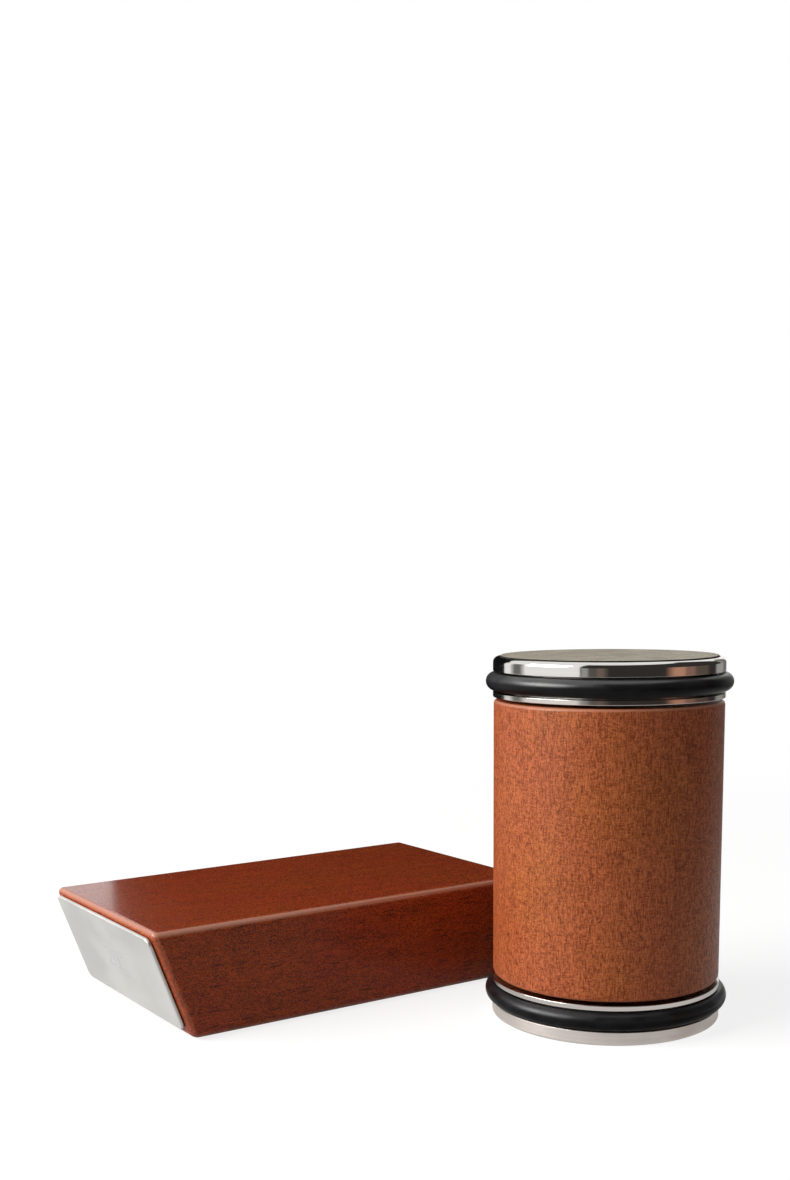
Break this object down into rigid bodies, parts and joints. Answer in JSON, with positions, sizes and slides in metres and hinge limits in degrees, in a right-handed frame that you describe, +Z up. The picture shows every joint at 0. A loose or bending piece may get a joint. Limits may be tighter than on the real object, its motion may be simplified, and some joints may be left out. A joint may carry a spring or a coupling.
{
  "type": "rolling knife sharpener",
  "caption": "Wooden roller with free-turning diamond and honing ends on rubber tyres, beside a wooden block with magnetic leaning end faces that hold a blade.",
  "frame": {"origin": "centre of the honing face that the roller stands on, on the roller's axis at floor level", "axes": "+Z up along the roller's axis, +X along the block's long side towards its 15 degree end, +Y from the roller towards the block"},
  "size_m": [0.1393, 0.1327, 0.0918],
  "materials": {
    "stained_beech": "red-brown stained beech under a thin satin varnish",
    "polished_steel": "mirror-polished stainless steel",
    "satin_steel": "satin stainless steel, turned face",
    "brushed_plate": "light grey satin stainless plate",
    "bearing_steel": "ground bearing steel",
    "stamped_steel": "plain stamped steel",
    "nickel": "nickel-plated magnet",
    "zinc": "zinc-plated steel",
    "diamond_grit": "matt olive-grey diamond grit bonded in nickel",
    "black_rubber": "satin black rubber",
    "grey_rubber": "matt dark grey rubber"
  },
  "bodies": {
    "block": {"angle_block": "stained_beech", "steep_end_plate": "brushed_plate", "shallow_end_plate": "brushed_plate", "steep_blade_magnet_1": "nickel", "steep_blade_magnet_2": "nickel", "shallow_blade_magnet_1": "nickel", "shallow_blade_magnet_2": "nickel", "block_foot_1": "grey_rubber", "block_foot_2": "grey_rubber", "block_foot_3": "grey_rubber", "block_foot_4": "grey_rubber"},
    "honing_end": {"honing_disc": "satin_steel"},
    "wheelset": {"lower_wheel": "polished_steel", "upper_wheel": "polished_steel", "lower_o_ring": "black_rubber", "upper_o_ring": "black_rubber", "lower_disc_magnet": "nickel", "upper_disc_magnet": "nickel", "lower_axle_washer": "zinc", "upper_axle_washer": "zinc", "lower_axle_screw": "zinc", "upper_axle_screw": "zinc", "axle": "bearing_steel", "race_spacer": "zinc", "lower_inner_race": "bearing_steel", "upper_inner_race": "bearing_steel"},
    "grip": {"wooden_grip": "stained_beech", "lower_outer_race": "bearing_steel", "upper_outer_race": "bearing_steel", "lower_bearing_shield_bottom": "stamped_steel", "lower_bearing_shield_top": "stamped_steel", "upper_bearing_shield_bottom": "stamped_steel", "upper_bearing_shield_top": "stamped_steel"},
    "lower_ball_set": {"lower_ball_cage": "stamped_steel", "lower_ball_1": "bearing_steel", "lower_ball_2": "bearing_steel", "lower_ball_3": "bearing_steel", "lower_ball_4": "bearing_steel", "lower_ball_5": "bearing_steel", "lower_ball_6": "bearing_steel", "lower_ball_7": "bearing_steel"},
    "upper_ball_set": {"upper_ball_cage": "stamped_steel", "upper_ball_1": "bearing_steel", "upper_ball_2": "bearing_steel", "upper_ball_3": "bearing_steel", "upper_ball_4": "bearing_steel", "upper_ball_5": "bearing_steel", "upper_ball_6": "bearing_steel", "upper_ball_7": "bearing_steel"},
    "diamond_end": {"diamond_carrier": "polished_steel", "diamond_plate": "diamond_grit"}
  },
  "joints": [
    {"name": "roller_lift", "type": "slide", "parent": "block", "child": "honing_end", "axis": [0, 0, 1], "range_m": [0, 0.1]},
    {"name": "honing_disc_release", "type": "slide", "parent": "honing_end", "child": "wheelset", "axis": [0, 0, 1], "range_m": [0, 0.015]},
    {"name": "grip_spin", "type": "hinge", "parent": "wheelset", "child": "grip", "pos_m": [0, 0, 0.04575], "axis": [0, 0, 1], "continuous": true},
    {"name": "lower_ball_orbit", "type": "hinge", "parent": "wheelset", "child": "lower_ball_set", "pos_m": [0, 0, 0.01575], "axis": [0, 0, 1], "continuous": true},
    {"name": "upper_ball_orbit", "type": "hinge", "parent": "wheelset", "child": "upper_ball_set", "pos_m": [0, 0, 0.07575], "axis": [0, 0, 1], "continuous": true},
    {"name": "diamond_disc_release", "type": "slide", "parent": "wheelset", "child": "diamond_end", "axis": [0, 0, 1], "range_m": [0, 0.015]}
  ],
  "couplings": [
    {"joint": "lower_ball_orbit", "follows": "grip_spin", "ratio": 0.63233},
    {"joint": "upper_ball_orbit", "follows": "grip_spin", "ratio": 0.63233}
  ]
}
